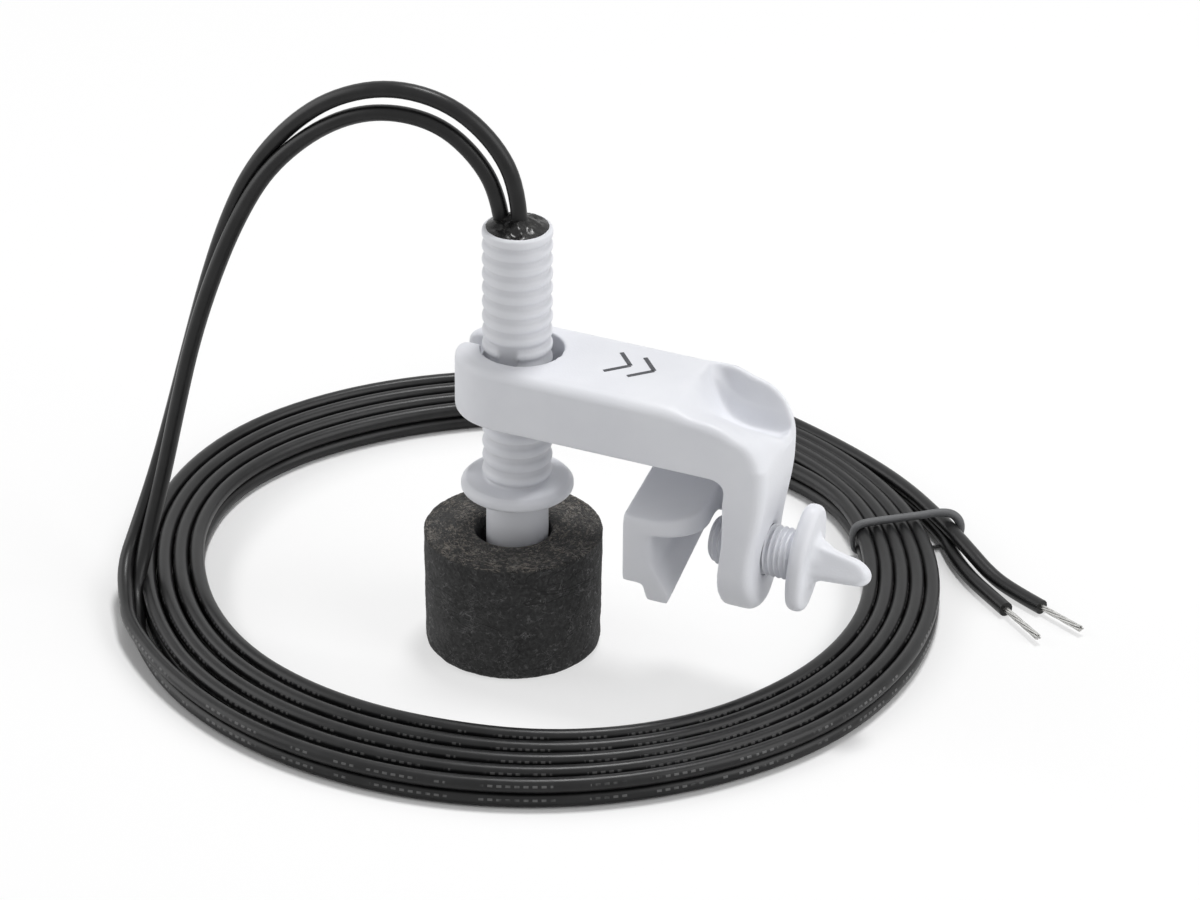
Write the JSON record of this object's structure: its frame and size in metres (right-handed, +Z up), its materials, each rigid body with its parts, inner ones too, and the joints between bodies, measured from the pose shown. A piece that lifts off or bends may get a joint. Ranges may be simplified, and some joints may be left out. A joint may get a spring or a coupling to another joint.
{
  "type": "condensate overflow float switch",
  "caption": "Clip-on drain pan float switch: ribbed stem with reed switch, sliding foam float, slit-ring bracket with jaw and thumb screw, and a coiled twin lead with bare ends.",
  "frame": {"origin": "on the stem axis at the flat foot of the stem", "axes": "+Z up the stem towards the lead outlet, +X along the bracket arm from stem to thumb screw, +Y towards the back of the bracket, where the thumb scoop has its wall"},
  "size_m": [0.1748, 0.1566, 0.1091],
  "materials": {
    "white_plastic": "satin moulded",
    "float_foam": "closed-cell foam, cut and scuffed",
    "lead_black": "satin insulation",
    "potting": "glossy poured resin",
    "tinned_core": "tinned strands",
    "tie": "thin grey tie",
    "spring_steel": "spring steel",
    "magnet": "sintered ferrite",
    "reed_glass": "clear green glass",
    "reed_metal": "plated nickel iron",
    "sleeve": "shrink sleeve"
  },
  "bodies": {
    "switch": {"stem": "white_plastic", "retaining_clip": "spring_steel", "reed_glass": "reed_glass", "reed_blade_lower": "reed_metal", "reed_blade_upper": "reed_metal", "return_wire": "reed_metal", "splice_sleeve_a": "sleeve", "lead_a_inner": "lead_black", "splice_sleeve_b": "sleeve", "lead_b_inner": "lead_black", "potting": "potting", "lead_a_arch": "lead_black", "lead_b_arch": "lead_black", "lead_a_tail": "lead_black", "lead_b_tail": "lead_black", "bare_end_a": "tinned_core", "bare_end_b": "tinned_core", "coil_tie": "tie", "coil": "lead_black"},
    "float": {"float_body": "float_foam", "ring_magnet": "magnet"},
    "clamp": {"bracket": "white_plastic"},
    "screw": {"thumb_screw": "white_plastic"}
  },
  "joints": [
    {"name": "float_slide", "type": "slide", "parent": "switch", "child": "float", "axis": [0, 0, 1], "range_m": [0, 0.008]},
    {"name": "clamp_slide", "type": "slide", "parent": "switch", "child": "clamp", "axis": [0, 0, 1], "range_m": [-0.012, 0.022]},
    {"name": "screw_feed", "type": "slide", "parent": "clamp", "child": "screw", "axis": [1, 0, 0], "range_m": [-0.0036, 0.004]}
  ]
}
